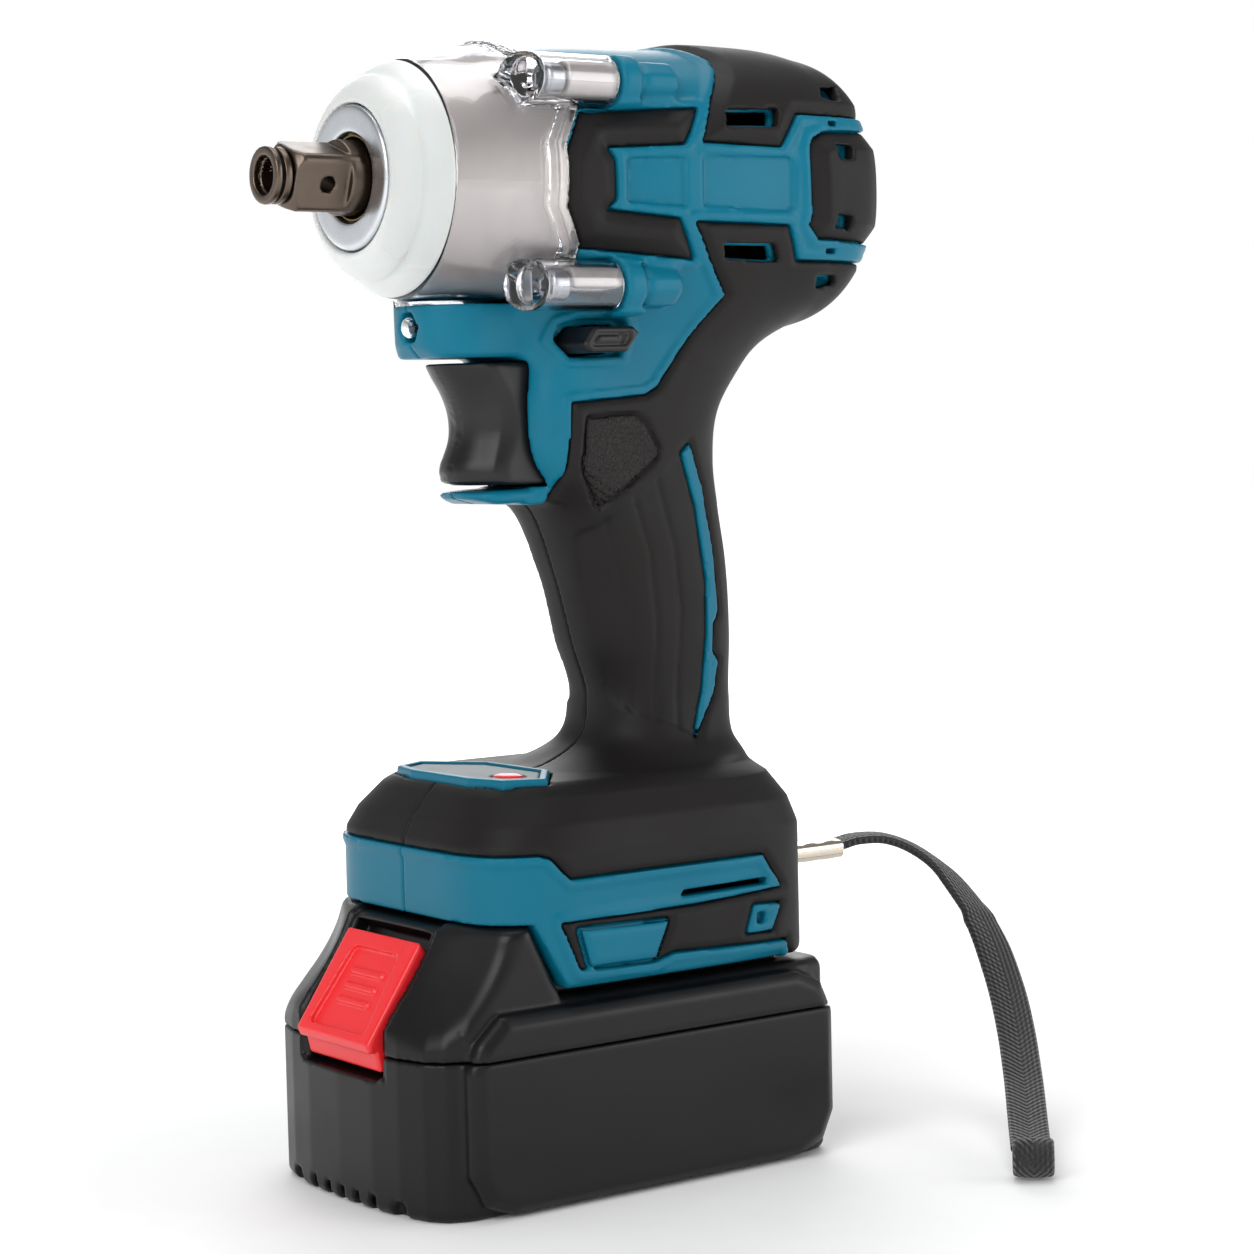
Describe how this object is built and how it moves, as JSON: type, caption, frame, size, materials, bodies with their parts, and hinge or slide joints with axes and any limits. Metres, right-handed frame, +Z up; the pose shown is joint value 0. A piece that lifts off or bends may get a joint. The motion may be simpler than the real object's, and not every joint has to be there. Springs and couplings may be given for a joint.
{
  "type": "cordless impact wrench",
  "caption": "Cordless impact wrench with pistol grip, square drive, slide-on battery pack and wrist strap.",
  "frame": {"origin": "middle of the battery's footprint, on the surface that the tool stands on", "axes": "+X along the drive axis from the nose to the rear, +Z up, and -Y is the tool's own left side"},
  "size_m": [0.1832, 0.1309, 0.2524],
  "materials": {
    "housing_plastic": "teal glass-filled nylon, fine satin texture",
    "overmould": "warm black thermoplastic rubber, matt",
    "cast_aluminium": "die cast, bead blasted",
    "clear_plastic": "clear moulded polycarbonate",
    "bumper_rubber": "frosted translucent white rubber",
    "zinc": "bright zinc plate",
    "bronze": "sintered bronze, oiled",
    "tool_steel": "forged alloy steel, gunmetal finish",
    "steel": "ground steel",
    "winding": "enamelled copper and laminations",
    "control_plastic": "black moulded nylon",
    "panel_label": "grey translucent film",
    "red_plastic": "red moulded plastic",
    "circuit_board": "lacquered fibreglass",
    "battery_plastic": "near black moulded nylon, satin",
    "cell_wrap": "shrink wrap",
    "nickel": "nickel plated crimp",
    "webbing": "woven nylon webbing"
  },
  "bodies": {
    "tool": {"housing_left": "housing_plastic", "housing_right": "housing_plastic", "motor_pad_left": "overmould", "motor_pad_right": "overmould", "top_pad_left": "overmould", "top_pad_right": "overmould", "grip_cover_left": "overmould", "grip_cover_right": "overmould", "rear_cover": "overmould", "side_insert_left": "housing_plastic", "side_insert_right": "housing_plastic", "hammer_case": "cast_aluminium", "clear_cover": "clear_plastic", "front_bumper": "bumper_rubber", "nose_washer": "zinc", "anvil_bush": "bronze", "case_screw_1": "steel", "case_screw_2": "steel", "case_screw_3": "steel", "case_screw_4": "steel", "ring_gear": "steel", "bearing_plate": "cast_aluminium", "stator": "winding", "front_bearing": "steel", "rear_bearing": "steel", "switch_body": "control_plastic", "trigger_spring": "steel", "led_lens": "clear_plastic", "panel_bezel": "housing_plastic", "panel_label": "panel_label", "controller_board": "circuit_board", "tool_terminal_block": "control_plastic", "strap_anchor": "webbing", "strap_ferrule": "nickel", "wrist_strap": "webbing", "strap_loop": "webbing"},
    "anvil": {"anvil": "tool_steel", "friction_ring": "tool_steel", "o_ring": "overmould"},
    "spindle": {"spindle": "steel", "planet_pin_1": "steel", "planet_pin_2": "steel", "cam_ball_1": "steel", "cam_ball_2": "steel", "hammer_spring": "steel"},
    "hammer": {"hammer": "steel", "spring_washer": "steel"},
    "planet_1": {"planet_gear_1": "steel"},
    "planet_2": {"planet_gear_2": "steel"},
    "rotor": {"rotor": "steel", "fan": "control_plastic"},
    "trigger": {"trigger": "control_plastic"},
    "direction_lever": {"direction_lever": "control_plastic"},
    "panel_button": {"panel_button": "red_plastic"},
    "battery": {"battery_lower_case": "battery_plastic", "battery_upper_case": "battery_plastic", "cell_pack": "cell_wrap", "battery_terminals": "control_plastic", "latch_spring": "steel"},
    "latch": {"latch_button": "red_plastic"}
  },
  "joints": [
    {"name": "spindle_spin", "type": "hinge", "parent": "tool", "child": "spindle", "pos_m": [0, 0, 0.2209], "axis": [1, 0, 0], "continuous": true},
    {"name": "anvil_spin", "type": "hinge", "parent": "tool", "child": "anvil", "pos_m": [0, 0, 0.2209], "axis": [1, 0, 0], "continuous": true},
    {"name": "rotor_spin", "type": "hinge", "parent": "tool", "child": "rotor", "pos_m": [0, 0, 0.2209], "axis": [1, 0, 0], "continuous": true},
    {"name": "planet_1_spin", "type": "hinge", "parent": "spindle", "child": "planet_1", "pos_m": [0.0114, 0, 0.23395], "axis": [1, 0, 0], "continuous": true},
    {"name": "planet_2_spin", "type": "hinge", "parent": "spindle", "child": "planet_2", "pos_m": [0.0114, 0, 0.20785], "axis": [1, 0, 0], "continuous": true},
    {"name": "hammer_slide", "type": "slide", "parent": "spindle", "child": "hammer", "axis": [1, 0, 0], "range_m": [0, 0.007], "stiffness_N_per_m": 6000, "springref_m": -0.004, "deforming": ["hammer_spring"]},
    {"name": "trigger_pull", "type": "slide", "parent": "tool", "child": "trigger", "axis": [1, 0, 0], "range_m": [0, 0.007], "stiffness_N_per_m": 900, "springref_m": -0.003, "deforming": ["trigger_spring"]},
    {"name": "direction_lever_slide", "type": "slide", "parent": "tool", "child": "direction_lever", "axis": [0, 1, 0], "range_m": [-0.003, 0.003]},
    {"name": "panel_button_press", "type": "slide", "parent": "tool", "child": "panel_button", "axis": [0, 0, -1], "range_m": [0, 0.0006], "stiffness_N_per_m": 800, "springref_m": -0.0005},
    {"name": "battery_slide", "type": "slide", "parent": "tool", "child": "battery", "axis": [-1, 0, 0], "range_m": [0, 0.075]},
    {"name": "latch_press", "type": "slide", "parent": "battery", "child": "latch", "axis": [-0.43, 0, -0.9028], "range_m": [0, 0.0032], "stiffness_N_per_m": 700, "springref_m": -0.002, "deforming": ["latch_spring"]}
  ],
  "couplings": [
    {"joint": "anvil_spin", "follows": "spindle_spin", "ratio": 1},
    {"joint": "rotor_spin", "follows": "spindle_spin", "ratio": 6.4444},
    {"joint": "planet_1_spin", "follows": "spindle_spin", "ratio": -2.45},
    {"joint": "planet_2_spin", "follows": "spindle_spin", "ratio": -2.45}
  ]
}
